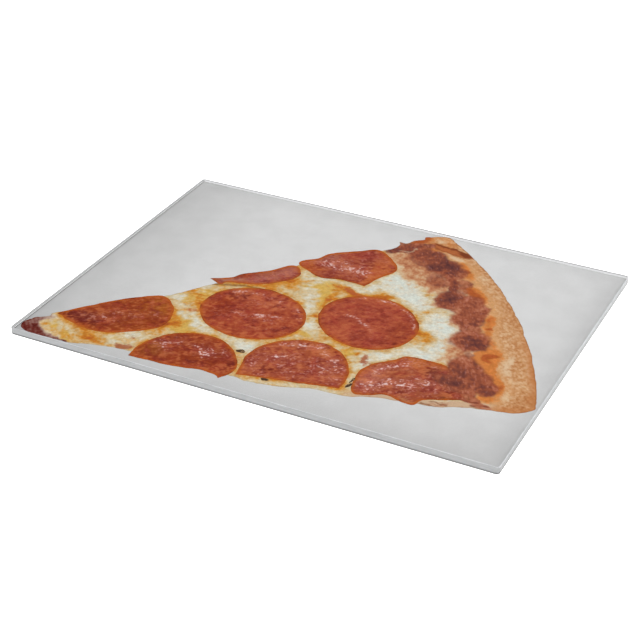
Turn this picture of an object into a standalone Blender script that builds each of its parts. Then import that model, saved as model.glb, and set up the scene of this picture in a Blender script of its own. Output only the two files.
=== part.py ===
"""Printed glass cutting board.

A tempered glass panel with rounded corners and a ground arris, an opaque print layer under it, and
four round rubber feet under the print. Metres, +Z up. The origin lies on the surface that the feet
stand on, under the middle of the panel. +X runs along the long side.
"""

import math

import bmesh
import bpy

INCH = 0.0254

# Driving dimensions
BOARD_LENGTH = 11 * INCH
BOARD_WIDTH = 8 * INCH
GLASS_THICKNESS = 0.0039
CORNER_RADIUS = 0.0018
ARRIS = 0.0004
PRINT_THICKNESS = 0.00015
PRINT_INSET = 0.0006
FOOT_DIAMETER = 0.012
FOOT_HEIGHT = 0.0022
FOOT_EDGE_RADIUS = 0.0006
FOOT_INSET = 0.018
GAP = 0.0003

# Heights worked out from the stack: feet, print, glass
PRINT_BOTTOM = FOOT_HEIGHT + GAP
GLASS_BOTTOM = PRINT_BOTTOM + PRINT_THICKNESS + GAP

# Facets of the round stretches
CORNER_SEGMENTS = 8
FOOT_SEGMENTS = 48
FOOT_EDGE_SEGMENTS = 5


def clear_scene():
    for obj in list(bpy.data.objects):
        bpy.data.objects.remove(obj, do_unlink=True)


def new_collection(name):
    collection = bpy.data.collections.new(name)
    bpy.context.scene.collection.children.link(collection)
    return collection


def new_material(name, color, roughness, transmission=0.0):
    """A Principled material; transmission above 0 makes it clear."""
    material = bpy.data.materials.new(name)
    material.use_nodes = True
    shader = material.node_tree.nodes["Principled BSDF"]
    shader.inputs["Base Color"].default_value = (*color, 1.0)
    shader.inputs["Roughness"].default_value = roughness
    shader.inputs["Metallic"].default_value = 0.0
    shader.inputs["Transmission Weight"].default_value = transmission
    return material


def new_object(name, mesh, material, collection, location):
    obj = bpy.data.objects.new(name, mesh)
    obj.data.materials.clear()
    obj.data.materials.append(material)
    obj.location = location
    collection.objects.link(obj)
    return obj


def plate_mesh(name, length, width, thickness, radius):
    """A flat plate standing on z = 0, with its four upright edges rounded."""
    plate = bmesh.new()
    bmesh.ops.create_cube(plate, size=1.0)
    bmesh.ops.scale(plate, vec=(length, width, thickness), verts=plate.verts)
    bmesh.ops.translate(plate, vec=(0, 0, thickness / 2), verts=plate.verts)
    upright = [e for e in plate.edges if abs(e.verts[0].co.z - e.verts[1].co.z) > thickness / 2]
    bmesh.ops.bevel(
        plate, geom=upright, offset=radius, segments=CORNER_SEGMENTS, profile=0.5, affect="EDGES"
    )
    mesh = bpy.data.meshes.new(name)
    plate.to_mesh(mesh)
    plate.free()
    return mesh


def shade_round(mesh):
    mesh.shade_smooth()
    mesh.set_sharp_from_angle(angle=math.radians(30))


def make_glass_panel(collection):
    """The tempered glass, with a small flat arris ground along its upper and lower rims."""
    material = new_material("clear_glass", (0.95, 0.97, 0.96), 0.03, transmission=1.0)
    mesh = plate_mesh("glass_panel", BOARD_LENGTH, BOARD_WIDTH, GLASS_THICKNESS, CORNER_RADIUS)
    panel = new_object("glass_panel", mesh, material, collection, (0, 0, GLASS_BOTTOM))
    arris = panel.modifiers.new("arris", "BEVEL")
    arris.width = ARRIS
    arris.segments = 1
    arris.limit_method = "ANGLE"
    arris.angle_limit = math.radians(60)
    shade_round(mesh)
    return panel


def make_print_layer(collection):
    """The opaque picture and white backing, a film just smaller than the panel."""
    material = new_material("white_print", (0.80, 0.80, 0.79), 0.45)
    length = BOARD_LENGTH - 2 * PRINT_INSET
    width = BOARD_WIDTH - 2 * PRINT_INSET
    radius = CORNER_RADIUS - PRINT_INSET
    mesh = plate_mesh("print_layer", length, width, PRINT_THICKNESS, radius)
    layer = new_object("print_layer", mesh, material, collection, (0, 0, PRINT_BOTTOM))
    shade_round(mesh)
    return layer


def foot_profile():
    """The foot's half section: flat top, straight side, rounded lower edge, flat sole."""
    radius = FOOT_DIAMETER / 2
    points = [(0.0, FOOT_HEIGHT), (radius, FOOT_HEIGHT)]
    for step in range(FOOT_EDGE_SEGMENTS + 1):
        angle = 0.5 * math.pi * step / FOOT_EDGE_SEGMENTS
        reach = radius - FOOT_EDGE_RADIUS * (1 - math.cos(angle))
        height = FOOT_EDGE_RADIUS * (1 - math.sin(angle))
        points.append((reach, height))
    points.append((0.0, 0.0))
    return points


def foot_mesh():
    """The foot's profile as an open chain of edges, which the Screw modifier turns."""
    points = foot_profile()
    mesh = bpy.data.meshes.new("foot")
    edges = [(index, index + 1) for index in range(len(points) - 1)]
    mesh.from_pydata([(x, 0.0, z) for x, z in points], edges, [])
    return mesh


def make_feet(collection):
    """Four alike feet, one near each corner, numbered anticlockwise from +X +Y."""
    material = new_material("clear_rubber", (0.62, 0.62, 0.60), 0.55)
    mesh = foot_mesh()
    reach_x = BOARD_LENGTH / 2 - FOOT_INSET
    reach_y = BOARD_WIDTH / 2 - FOOT_INSET
    corners = [(1, 1), (-1, 1), (-1, -1), (1, -1)]
    for number, (side_x, side_y) in enumerate(corners, start=1):
        place = (side_x * reach_x, side_y * reach_y, 0.0)
        foot = new_object(f"foot_{number}", mesh, material, collection, place)
        turn = foot.modifiers.new("turn", "SCREW")
        turn.axis = "Z"
        turn.angle = math.tau
        turn.steps = FOOT_SEGMENTS
        turn.render_steps = FOOT_SEGMENTS
        turn.use_merge_vertices = True
        turn.merge_threshold = 0.00001
        turn.use_smooth_shade = False


def main():
    clear_scene()
    board = new_collection("printed_glass_cutting_board")
    make_glass_panel(board)
    make_print_layer(board)
    make_feet(board)


main()
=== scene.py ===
"""Looks of a printed glass cutting board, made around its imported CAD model.

The board is a clear glass panel over an opaque print, on four rubber feet. The print shows a slice of
pepperoni pizza on pale grey. It is drawn here from fields of colour and simple shapes: thin sheets of
ink, one above the other, cut to smooth outlines and coloured from the named places below.

Places in the picture are millimetres from its middle, x to the right and y to the back. Angles are
degrees anticlockwise. Colours are red, green and blue from 0 to 255, as a screen shows them.
"""

import math

import bmesh
import bpy
import numpy as np
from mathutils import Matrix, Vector, geometry, kdtree


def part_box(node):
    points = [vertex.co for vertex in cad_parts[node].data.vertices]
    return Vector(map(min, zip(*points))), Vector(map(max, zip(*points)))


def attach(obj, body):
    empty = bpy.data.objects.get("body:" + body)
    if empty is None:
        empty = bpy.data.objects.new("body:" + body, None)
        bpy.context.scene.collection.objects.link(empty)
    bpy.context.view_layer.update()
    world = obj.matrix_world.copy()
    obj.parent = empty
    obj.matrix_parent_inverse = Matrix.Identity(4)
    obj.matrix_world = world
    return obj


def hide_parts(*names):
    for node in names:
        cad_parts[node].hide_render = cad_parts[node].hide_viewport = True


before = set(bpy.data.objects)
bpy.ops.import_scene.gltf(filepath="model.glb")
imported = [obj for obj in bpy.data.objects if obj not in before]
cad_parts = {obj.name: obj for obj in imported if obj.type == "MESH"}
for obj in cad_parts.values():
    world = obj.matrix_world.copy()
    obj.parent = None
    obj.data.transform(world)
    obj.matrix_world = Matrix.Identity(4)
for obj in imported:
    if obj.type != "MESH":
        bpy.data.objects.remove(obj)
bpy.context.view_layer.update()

MM = 0.001
WHITE = (1.0, 1.0, 1.0, 1.0)

# Camera, at the front and the right: its place in metres, its lens and sensor in millimetres
CAMERA_PLACE = (0.3246, -0.6503, 0.43345)
CAMERA_TILT = 58.796
CAMERA_TURN = 26.798
CAMERA_LENS = 85.60
SENSOR_WIDTH = 36.0

# Heights of the backing, the ink sheets and the glass, in millimetres above what the board stands on
BACKING_LOW = 2.50
BACKING_HIGH = 2.65
GROUND_HIGH = 2.80
SLICE_HIGH = 2.85
TOPPING_HIGH = 2.90
SPECK_HIGH = 2.94
GLASS_LOW = 2.60

# Heights over which the ground edge's painted foot shade ends and its painted crown shade begins
EDGE_FOOT_SHADE = (3.3, 4.2)
EDGE_CROWN_SHADE = (4.9, 5.2)

# Roundings of the panel, the print and the feet, and the feet's overhang, in millimetres
GLASS_CORNER = 1.8
GLASS_ARRIS = 0.4
PRINT_CORNER = 1.2
FOOT_ROUNDING = 0.7
FOOT_OVERHANG = 0.3

# The share of a foot's height that its adhesive disc takes
DISC_SHARE = 0.12

# Facets of the round stretches
CORNER_STEPS = 10
ARRIS_STEPS = 2
FOOT_STEPS = 64
FOOT_EDGE_STEPS = 8

# How much brighter the lights make an ink, how much light the glass adds to it, and the glass's tint
STUDIO_LIGHT = 1.05
GLASS_HAZE = 0.016
GLASS_TINT = (0.985, 0.992, 0.99, 1.0)

# Looks of the ground edge: name, screen colour, factors of its dark streaks, of painted crown and foot
# shade, and painted light
# Colours differ by side as painted light and shade; the arris rows are painted highlights, the foot row
# painted shade
# The last number is an emission that lights up the edge, though it is no lamp: painted light
EDGE_LOOKS = [
    ("edge_front", (178, 179, 180), 0.90, 1.0, 0.45, 0.0),
    ("edge_right", (160, 161, 162), 0.94, 1.0, 0.10, 0.0),
    ("edge_far", (160, 161, 163), 0.96, 0.28, 1.0, 0.58),
    ("edge_left", (150, 152, 154), 0.92, 0.46, 1.0, 0.40),
    ("arris_front", (186, 187, 188), 0.80, 1.0, 1.0, 0.0),
    ("arris_right", (214, 215, 218), 0.90, 1.0, 1.0, 0.0),
    ("foot", (84, 84, 86), 0.60, 1.0, 1.0, 0.0),
]

# The picture's middle on the print, and its size there
PICTURE_SHIFT = (-1.23, 2.41)
PICTURE_SCALE = 0.996

# How wide the triangles of the ink sheets are, in millimetres
SLICE_STEP = 0.6
TOPPING_STEP = 0.42
HERB_STEP = 0.35

# Random values each way, before the noise repeats
LATTICE = 251

# The ground's painted shade and painted light: away from which side, from and to how many millimetres,
# and how bright at first
GROUND_PAINTED_SHADE = [
    ("rim", 0.0, 16.0, 0.90), ("front", 0.0, 55.0, 0.87), ("left", 0.0, 75.0, 0.83),
    ("left", 0.3, 1.1, 0.45), ("right", 0.0, 40.0, 0.94), ("right", 0.0, 3.0, 1.14),
]

# Inks
CREAM = (212, 192, 158)
YELLOW = (210, 168, 80)
YELLOW_BROWN = (208, 148, 66)
BROWN = (164, 98, 72)
BAKED_RED = (180, 96, 60)
OLIVE = (136, 96, 54)
SEAM = (206, 124, 66)
BURNT = (172, 88, 52)
SEAM_TAN = (212, 158, 108)
PALE_CRUST = (220, 190, 156)
FOLD = (180, 102, 62)
FOLD_LINE = (118, 62, 42)
DOUGH = (204, 172, 142)
DOUGH_LINE = (126, 78, 54)
PINK_GLINT = (214, 150, 136)
WHITE_GLINT = (230, 205, 202)
RIM = (168, 82, 40)
RIM_LINE = (104, 52, 32)
OILY_RIM = (184, 98, 48)
RIM_TAN = (192, 126, 80)
TIP_PALE = (206, 184, 160)
MEAT_ORANGE = (180, 92, 48)
MEAT_RED = (158, 62, 56)
MEAT_DARK = (116, 42, 38)
MEAT_PALE = (208, 124, 82)
MEAT_BURNT = (108, 46, 40)
HERB = (84, 66, 52)
HERB_LIGHT = (150, 120, 90)
GROUND_GREY = (211, 211, 211)
BACKING_WHITE = (222, 222, 219)
RUBBER_GREY = (164, 164, 161)

# Colours that follow how baked a place is
CHEESE_STOPS = [
    (-0.3, (214, 218, 208)), (-0.05, (219, 214, 198)), (0.15, (215, 203, 176)),
    (0.38, (210, 188, 148)), (0.6, (208, 168, 112)), (0.85, (205, 142, 64)), (1.1, (194, 116, 48)),
    (1.5, (168, 84, 50)),
]
HAZE_STOPS = [
    (0.1, (214, 196, 168)), (0.5, (208, 168, 130)), (0.9, (192, 132, 96)), (1.4, (166, 100, 74)),
]
BROWNED_STOPS = [
    (-0.4, (196, 134, 106)), (0.2, (172, 102, 78)), (0.7, (152, 85, 64)), (1.3, (124, 72, 62)),
    (2, (96, 60, 59)), (2.7, (76, 52, 55)),
]
CRUST_STOPS = [
    (-1.6, (150, 92, 58)), (-0.5, (188, 130, 86)), (0.1, (203, 153, 109)), (0.7, (216, 176, 136)),
    (1.6, (232, 206, 176)),
]
TIP_STOPS = [
    (0.1, (196, 168, 152)), (0.5, (166, 134, 122)), (0.9, (136, 94, 86)), (1.3, (108, 52, 46)),
    (1.9, (82, 34, 32)),
]

# The slice's outline, in stretches: a point given twice is a corner
TIP = [(-105.6, -101.2), (-128.2, -101.6), (-135.2, -99.2), (-137.4, -94), (-135.6, -90)]
UPPER_SIDE = [
    (-134.6, -87.6), (-128.6, -82.6), (-127.4, -78), (-106, -57), (-88, -39.5), (-80.2, -32.2),
    (-73, -21), (-66.5, -13), (-64.4, -9.6), (-54, 3), (-36, 24), (-32, 32), (-18, 50),
    (2.4, 66.8), (7, 72.5), (8.4, 76.5), (6.4, 80.6), (6.4, 80.6), (11.6, 80.8), (14.6, 85.8),
    (19, 89.4), (18.8, 93), (24, 96.2), (29.4, 98.4),
]
CRUST_ARC = {"x": -136.23, "y": -136.82, "radius": 289.32, "first": 53.885, "last": 18.588, "pieces": 45}
LOWER_SIDE = [
    (138.7, -49.6), (133.1, -55.5), (124.3, -58.6), (117, -60), (104.3, -64.5), (94.3, -68.5),
    (84.6, -70.2), (63.1, -75), (50.6, -80.1), (31, -82.6), (11.8, -88.8), (-0.7, -90.7),
    (-14, -90.2), (-31, -91), (-60, -93), (-70.6, -93.8), (-83, -95.2), (-95, -98.3),
]
SEAM_ROUTE = [
    (20, 88), (34, 82), (42, 77), (52, 73), (61, 65.5), (70.5, 52), (83, 38.5), (90.5, 25.5),
    (94.5, 10), (103, -4.5), (108, -12), (109, -24), (117.4, -33.8), (120.4, -43), (119, -53.5),
    (119, -60),
]

# Pepperoni by number: the whole ones are discs, given as middle, half length, half width and turn
DISCS = {3: (-31, -30.3, 30.8, 26.2, -8), 4: (29.5, -10.5, 29.2, 26, -25)}
TORN_SHAPES = {
    1: [
        (-125.4, -76.6), (-108.2, -55.6), (-96.5, -44), (-84.8, -36.9), (-74.5, -42.6), (-69, -53),
        (-67.7, -63.4), (-73.2, -71.3), (-87.7, -81.7), (-100.6, -85.1), (-115.7, -82.5),
        (-122.6, -79.6),
    ],
    2: [
        (-68.4, -97.4), (-68.4, -97.4), (-69.2, -90), (-66.8, -80), (-61, -70.4), (-51.5, -63.6),
        (-40.3, -61), (-29, -63.4), (-19.2, -70.6), (-12.8, -79.8), (-11.4, -86), (-13, -90.6),
        (-15.6, -95), (-15.6, -95), (-19, -93), (-27, -92.4), (-36, -94.4), (-46, -96.2),
        (-58, -96.6),
    ],
    5: [
        (-71.2, -7.8), (-71.2, -7.8), (-60.6, -0.8), (-57, 5.5), (-44.8, 16.2), (-38.4, 25.8),
        (-32.4, 26.2), (-27, 17), (-35.1, 4.9), (-46, -2.7), (-59.4, -6.6), (-62.4, -10.9),
        (-66.6, -9.6),
    ],
    6: [
        (-34.2, 34), (-26.8, 41.4), (-23.6, 48.8), (-11.8, 58), (-1.2, 65.6), (5.6, 64),
        (16.9, 54.2), (19.3, 45.6), (13.8, 33.7), (10.9, 24), (10.9, 24), (-4.5, 24.3),
        (-16.5, 21.3), (-28, 26.6), (-33.4, 29.6),
    ],
    7: [
        (-9.6, -87.9), (-9.6, -87.9), (-11, -80.4), (-13.2, -70), (-11.2, -59.6), (-5, -50.2),
        (5, -43.4), (17, -40.8), (28, -43.4), (36.4, -50.4), (42, -60), (44.2, -69), (43.6, -75.8),
        (43.6, -75.8),
    ],
    8: [
        (46.2, -57), (48.7, -48.2), (57.4, -38.6), (62.6, -32.6), (75.6, -31.3), (88, -33.6),
        (99, -44), (105, -57), (105, -57), (95, -61.4), (85.6, -66.4), (83, -72.4), (76, -72.2),
        (68, -70.2), (60, -73.8), (52.8, -76.4), (48.4, -70.6),
    ],
}

# Each pepperoni's colour, how spotted it is and how glossy
MEAT = {
    1: ((146, 68, 40), 1.1, 0.16),
    2: ((143, 64, 42), 1.1, 0.20),
    3: ((163, 76, 54), 1.15, 0.24),
    4: ((170, 83, 62), 0.9, 0.14),
    5: ((160, 92, 74), 0.9, 0.2),
    6: ((168, 87, 64), 1.1, 0.26),
    7: ((160, 80, 58), 1.2, 0.52),
    8: ((156, 82, 60), 1.2, 0.52),
}


def smoothstep(low, high, value):
    """0 below low and 1 above high, with a smooth rise between."""
    share = np.clip((value - low) / (high - low), 0.0, 1.0)
    return share * share * (3.0 - 2.0 * share)


def ramp(value, stops):
    """The colour at each value along a row of stops."""
    places = [place for place, _ in stops]
    parts = [np.interp(value, places, [colour[part] for _, colour in stops]) for part in range(3)]
    return np.stack(parts, axis=1)


def linear_light(colour):
    """Screen colours from 0 to 255 as linear light from 0 to 1."""
    screen = np.clip(np.array(colour, float) / 255.0, 0.0, 1.0)
    return np.where(screen <= 0.04045, screen / 12.92, ((screen + 0.055) / 1.055) ** 2.4)


def turned(x, y, angle):
    """Places as seen from axes turned anticlockwise by an angle in radians."""
    cosine, sine = math.cos(angle), math.sin(angle)
    return cosine * x + sine * y, cosine * y - sine * x


def bumps(x, y, size, seed):
    """Smooth random values from -1 to 1, in bumps about size millimetres wide."""
    values = np.random.default_rng(seed).uniform(-1.0, 1.0, (LATTICE, LATTICE))
    across, along = (part / size + 0.5 * LATTICE for part in turned(x, y, -0.6 - seed))
    column, row = np.floor(across).astype(int), np.floor(along).astype(int)
    across, along = smoothstep(0.0, 1.0, across - column), smoothstep(0.0, 1.0, along - row)
    below, above = (
        values[column % LATTICE, place % LATTICE] * (1 - across)
        + values[(column + 1) % LATTICE, place % LATTICE] * across
        for place in (row, row + 1)
    )
    return below * (1 - along) + above * along


def clouds(x, y, size, seed, layers=3):
    """Bumps with finer and fainter ones on them."""
    total = np.zeros(np.shape(x))
    for layer in range(layers):
        total = total + bumps(x, y, size / 2**layer, seed + layer) / 2**layer
    return total


def distance_to(route, x, y):
    """How far each place is from a route, below 0 on its left."""
    nearest = np.full(np.shape(x), np.inf)
    side = np.ones(np.shape(x))
    for (start_x, start_y), (end_x, end_y) in zip(route, route[1:]):
        step_x, step_y = end_x - start_x, end_y - start_y
        off_x, off_y = x - start_x, y - start_y
        length = max(step_x**2 + step_y**2, 1e-9)
        share = np.clip((off_x * step_x + off_y * step_y) / length, 0.0, 1.0)
        away = np.hypot(off_x - share * step_x, off_y - share * step_y)
        closer = away < nearest - 1e-6
        nearest = np.where(closer, away, nearest)
        side = np.where(closer, np.sign(step_y * off_x - step_x * off_y), side)
    return nearest * side


def curve_through(points, closed=False, step=1.0):
    """A smooth curve through points, with a corner where a point is given twice."""
    places = [np.array(place, float) for place in points]
    places = [places[-1], *places, *places[:2]] if closed else [places[0], *places, places[-1]]
    curve = []
    for before, start, end, after in zip(places, places[1:], places[2:], places[3:]):
        pieces = math.ceil(np.hypot(*(end - start)) / step)
        for t in (piece / pieces for piece in range(pieces)):
            curve.append(
                start
                + 0.5 * t * (end - before)
                + t**2 * (before - 2.5 * start + 2 * end - 0.5 * after)
                + t**3 * (1.5 * (start - end) + 0.5 * (after - before))
            )
    if not closed:
        curve.append(places[-1])
    return [tuple(place) for place in curve]


def arc_places(x, y, radius, first, last, pieces):
    """Places along a circle's arc, from one angle to another."""
    angles = np.radians(np.linspace(first, last, pieces + 1))
    return [(x + radius * math.cos(angle), y + radius * math.sin(angle)) for angle in angles]


def spaced(outline, step):
    """An outline's places again, at most a step apart."""
    places = []
    for (x, y), (next_x, next_y) in zip(outline, outline[1:] + outline[:1]):
        pieces = math.ceil(math.hypot(next_x - x, next_y - y) / step)
        for piece in range(pieces):
            share = piece / pieces
            places.append((x + share * (next_x - x), y + share * (next_y - y)))
    return places


def uneven(outline, amount, size, seed):
    """An outline that wanders to and fro by up to an amount."""
    x, y = np.array(outline).T
    x, y = x + amount * clouds(x, y, size, seed), y + amount * clouds(x, y, size, seed + 50)
    return list(zip(x.tolist(), y.tolist()))


def slice_outline():
    crust = arc_places(**CRUST_ARC)
    outline = curve_through(TIP + UPPER_SIDE + crust + LOWER_SIDE, closed=True)
    return spaced(uneven(outline, amount=0.45, size=5.0, seed=11), SLICE_STEP)


def pepperoni_outline(number):
    if number in DISCS:
        outline = oval_outline(*DISCS[number])
    else:
        outline = curve_through(TORN_SHAPES[number], closed=True)
    outline = uneven(spaced(outline, 1.0), amount=0.35, size=6.0, seed=20 + number)
    return spaced(outline, TOPPING_STEP)


def oval_outline(x, y, half_length, half_width, turn, steps=96):
    """Places round an oval, anticlockwise."""
    outline = []
    for angle in (math.tau * step / steps for step in range(steps)):
        place = half_length * math.cos(angle), half_width * math.sin(angle)
        across, along = turned(*place, -math.radians(turn))
        outline.append((x + across, y + along))
    return outline


def search_tree(places):
    """A tree that finds the nearest of some places."""
    tree = kdtree.KDTree(len(places))
    for index, (x, y) in enumerate(places):
        tree.insert((x, y, 0.0), index)
    tree.balance()
    return tree


def filled(outline, step):
    """Points and triangles that fill an outline."""
    x, y = np.array(outline).T
    rows = np.arange(y.min() + step, y.max(), step * math.sqrt(0.75))
    inner = []
    for number, height in enumerate(rows):
        start = x.min() + (0.5 * step if number % 2 else 0.0)
        inner += [(across, height) for across in np.arange(start, x.max(), step)]
    rim = search_tree(outline)
    inner = [place for place in inner if rim.find((*place, 0.0))[2] > 0.6 * step]
    places = [Vector(place) for place in outline + inner]
    loop = list(range(len(outline)))
    inside_only, least_gap = 1, 1e-5
    points, _, faces, *_ = geometry.delaunay_2d_cdt(places, [], [loop], inside_only, least_gap)
    return points, faces


def mesh_from(shape, name):
    mesh = bpy.data.meshes.new(name)
    shape.to_mesh(mesh)
    shape.free()
    return mesh


def sheet_mesh(name, outline, step, low, high):
    """A closed thin sheet with a fine upper face. Outline in millimetres of the picture."""
    points, faces = filled(outline, step)
    shape = bmesh.new()
    verts = []
    for x, y in points:
        board_x = x * PICTURE_SCALE + PICTURE_SHIFT[0]
        board_y = y * PICTURE_SCALE + PICTURE_SHIFT[1]
        verts.append(shape.verts.new((board_x * MM, board_y * MM, high * MM)))
    for face in faces:
        shape.faces.new([verts[index] for index in face])
    loose = [vert for vert in shape.verts if not vert.link_faces]
    bmesh.ops.delete(shape, geom=loose, context="VERTS")
    close_downwards(shape, low * MM)
    mesh = mesh_from(shape, name)
    map_from_above(mesh)
    return mesh


def close_downwards(shape, low):
    """Gives a flat open sheet its sides and its underside."""
    rim = [edge for edge in shape.edges if edge.is_boundary]
    made = bmesh.ops.extrude_edge_only(shape, edges=rim)
    lower = [item for item in made["geom"] if isinstance(item, bmesh.types.BMVert)]
    for vert in lower:
        vert.co.z = low
    bottom = [edge for edge in shape.edges if edge.is_boundary]
    bmesh.ops.edgeloop_fill(shape, edges=bottom)
    bmesh.ops.recalc_face_normals(shape, faces=shape.faces)


def vertex_places(mesh):
    """A mesh's points, as rows of x, y and z in metres."""
    places = np.empty(len(mesh.vertices) * 3)
    mesh.vertices.foreach_get("co", places)
    return places.reshape(-1, 3)


def map_from_above(mesh):
    """A map that gives the upper face nearly the whole image, and the other faces its lower rim."""
    places = vertex_places(mesh)
    low, high = places.min(axis=0), places.max(axis=0)
    share = (places - low) / (high - low)
    layer = mesh.uv_layers.new(name="OFBake")
    for face in mesh.polygons:
        upper = face.normal.z > 0.5
        for corner in face.loop_indices:
            u, v = share[mesh.loops[corner].vertex_index][:2]
            layer.uv[corner].vector = (u, 0.04 + 0.96 * v) if upper else (u, 0.03 * v)


class Painting:
    """Colours painted on a mesh's points, in picture millimetres."""

    def __init__(self, mesh, base):
        self.mesh = mesh
        places = vertex_places(mesh) / MM
        self.x = (places[:, 0] - PICTURE_SHIFT[0]) / PICTURE_SCALE
        self.y = (places[:, 1] - PICTURE_SHIFT[1]) / PICTURE_SCALE
        self.loose_x = self.x + clouds(self.x, self.y, 6.0, 31) + 0.4 * clouds(self.x, self.y, 2.0, 35)
        self.loose_y = self.y + clouds(self.x, self.y, 6.0, 41) + 0.4 * clouds(self.x, self.y, 2.0, 45)
        self.colour = np.tile(np.array(base, float), (len(places), 1))

    def paint(self, colour, mask):
        self.colour += np.clip(mask, 0.0, 1.0)[:, None] * (np.array(colour, float) - self.colour)

    def shade(self, factor):
        self.colour *= factor[:, None]

    def reach(self, x, y, half_length, half_width, turn):
        """How far out each point lies in an uneven oval: 0 at its centre, 1 at its rim."""
        across, along = turned(self.loose_x - x, self.loose_y - y, math.radians(turn))
        return np.hypot(across / half_length, along / half_width)

    def ovals(self, rows, soft):
        """1 in any of some ovals, falling to 0 across their soft rims."""
        outside = np.ones(len(self.x))
        for *oval, strength in rows:
            outside *= 1.0 - strength * smoothstep(1.0 + soft, 1.0 - soft, self.reach(*oval))
        return 1.0 - outside

    def lumps(self, rows):
        """Round heaps that add up where they meet, each with its own strength."""
        total = np.zeros(len(self.x))
        for *oval, strength in rows:
            total += strength * np.exp(-0.7 * self.reach(*oval) ** 2)
        return total

    def stroke(self, route, width, soft):
        """1 along a smooth route, falling to 0 across its soft sides."""
        away = np.abs(distance_to(curve_through(route), self.loose_x, self.loose_y))
        return smoothstep(width + soft, width - soft, away)

    def clouds(self, size, seed, layers=3, stretch=1.0, turn=27.0):
        """Uneven patches, longer along one direction where stretched."""
        across, along = turned(self.x, self.y, math.radians(turn))
        return clouds(across / stretch, along, size, seed, layers)

    def finish(self):
        """Writes the colours to the mesh, in linear light, less what light and glass add to them."""
        layer = self.mesh.color_attributes.new(name="ink", type="FLOAT_COLOR", domain="POINT")
        values = np.ones((len(self.colour), 4), np.float32)
        values[:, :3] = np.clip((linear_light(self.colour) - GLASS_HAZE) / STUDIO_LIGHT, 0.0, 1.0)
        layer.data.foreach_set("color", values.ravel())


# Rows of patches give their middle, half length, half width, turn and strength
# Cheese
WHITE_PATCHES = [
    (24, 37, 8, 6, -40, 1), (36, 31, 11, 6, -35, 1), (44, 22, 10, 6, -35, 1),
    (62, 7, 9, 6.5, -40, 1), (71, -4, 9, 8, 0, 1), (75, -17, 8, 9, 10, 0.9),
    (68, -27, 13, 4.5, -12, 1), (54, -38, 8, 4, 35, 0.8), (4, -27.5, 4.6, 3.6, 10, 1),
    (-51, -53.5, 8, 3.6, -30, 1), (-19, -61, 9, 3.4, -15, 1), (-79, -78, 6, 4.5, -25, 0.8),
    (-8.5, -7.5, 2.4, 8.5, 22, 0.9), (-77, -34, 4, 7, -35, 0.7), (-8, 17.5, 2, 4.5, 20, 0.8),
    (-16, 20, 5, 2, 0, 0.5), (16, 22.5, 6, 5, 30, 0.9), (-20, 6.5, 5, 2, 15, 0.5),
    (47, -52, 2.4, 7, 15, 0.5),
]
TAN_PATCHES = [
    (-46, -3.5, 11, 2.6, 12, 0.9), (13, -34, 6, 3, -15, 0.7), (30, -40, 8, 3, -15, 0.6),
    (-86, -84, 7, 4, -15, 0.6), (-73, -74, 4, 5, 10, 0.7), (45, 34.5, 3.6, 4.4, 0, 0.9),
    (62.5, -21.5, 4, 2, 0, 0.8), (-35, -61, 7, 1.6, 10, 0.7), (-115, -91, 14, 6, -25, 0.8),
]
YELLOW_PATCHES = [
    (-6, 10, 4, 9, 20, 1.5), (-15, 11.5, 5, 3.4, 30, 0.8), (3.5, -36.2, 6, 2.2, 5, 1),
    (-27, 14, 3.4, 5, 0, 0.6), (-122, -89, 5, 2.6, -50, 0.8), (-110, -96, 6, 2.2, -45, 1),
    (-85, -88.5, 4, 3, 0, 0.6), (-56.5, -63, 7, 3, -20, 0.8), (-67, -27, 7, 9, -30, 0.9),
    (-61.5, -57.5, 7.5, 7, -30, 1), (34, -43.5, 3.6, 3, 0, 0.8), (-2, -8, 2.4, 7, 10, 0.6),
]
GOLD_PATCHES = [
    (62.5, -8.5, 6.5, 3.2, -10, 1), (64.5, -14, 4, 4, 0, 1), (26.5, 19, 7.5, 2.4, 5, 1.1),
    (54.5, 14, 2, 4.5, -25, 0.9), (7.5, 14.6, 8, 3.2, -10, 1.2), (0, 4, 2.6, 6.5, 0, 1),
    (-26.5, 7, 5, 5, 0, 0.9), (-35, 0.5, 5, 2.4, 20, 0.7), (1, -17.5, 2.6, 2.6, 0, 0.9),
    (-65.5, -32, 6, 6, 0, 1), (-63.5, -58, 5, 5, 0, 0.8), (-94.5, -92.5, 8, 3, -14, 1.3),
    (-110, -96.5, 4, 1.4, -40, 0.6), (-110, -84.6, 9, 1.6, -12, 0.5), (-73, -24.5, 3, 5, -35, 0.8),
    (-66.5, -67, 2, 4.5, 0, 0.9), (37.4, -43.6, 0.9, 1.8, 0, 1), (110, -55.5, 5, 2, -25, 0.9),
]
OLIVE_STROKES = [[(-66, -12), (-58, -9.6), (-49, -6.6), (-41, -4.4)]]
RED_SPECKS = [
    (-62.5, -42, 3.4, 2, 10, 0.8), (-69.5, -38.5, 2.2, 1.2, 0, 0.6),
    (-91, -93.8, 3, 1.6, -10, 0.5), (-98, -91.4, 3, 1.4, -10, 0.5), (8.5, 14.8, 6, 2.2, -10, 1.3),
    (0, 2, 1.4, 2.8, 0, 0.5), (1, -16.5, 1.6, 1.2, 0, 0.6),
]
BROWN_SPECKS = [
    (-80, -91.6, 5, 1.2, 0, 0.7), (-74.6, -89.8, 3.2, 2.2, 30, 1.3),
    (-76, -81.6, 2.4, 1, -15, 0.6), (43, -44, 1.3, 3.6, 25, 1.1), (46, -48.6, 2, 2, -30, 0.9),
]

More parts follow.
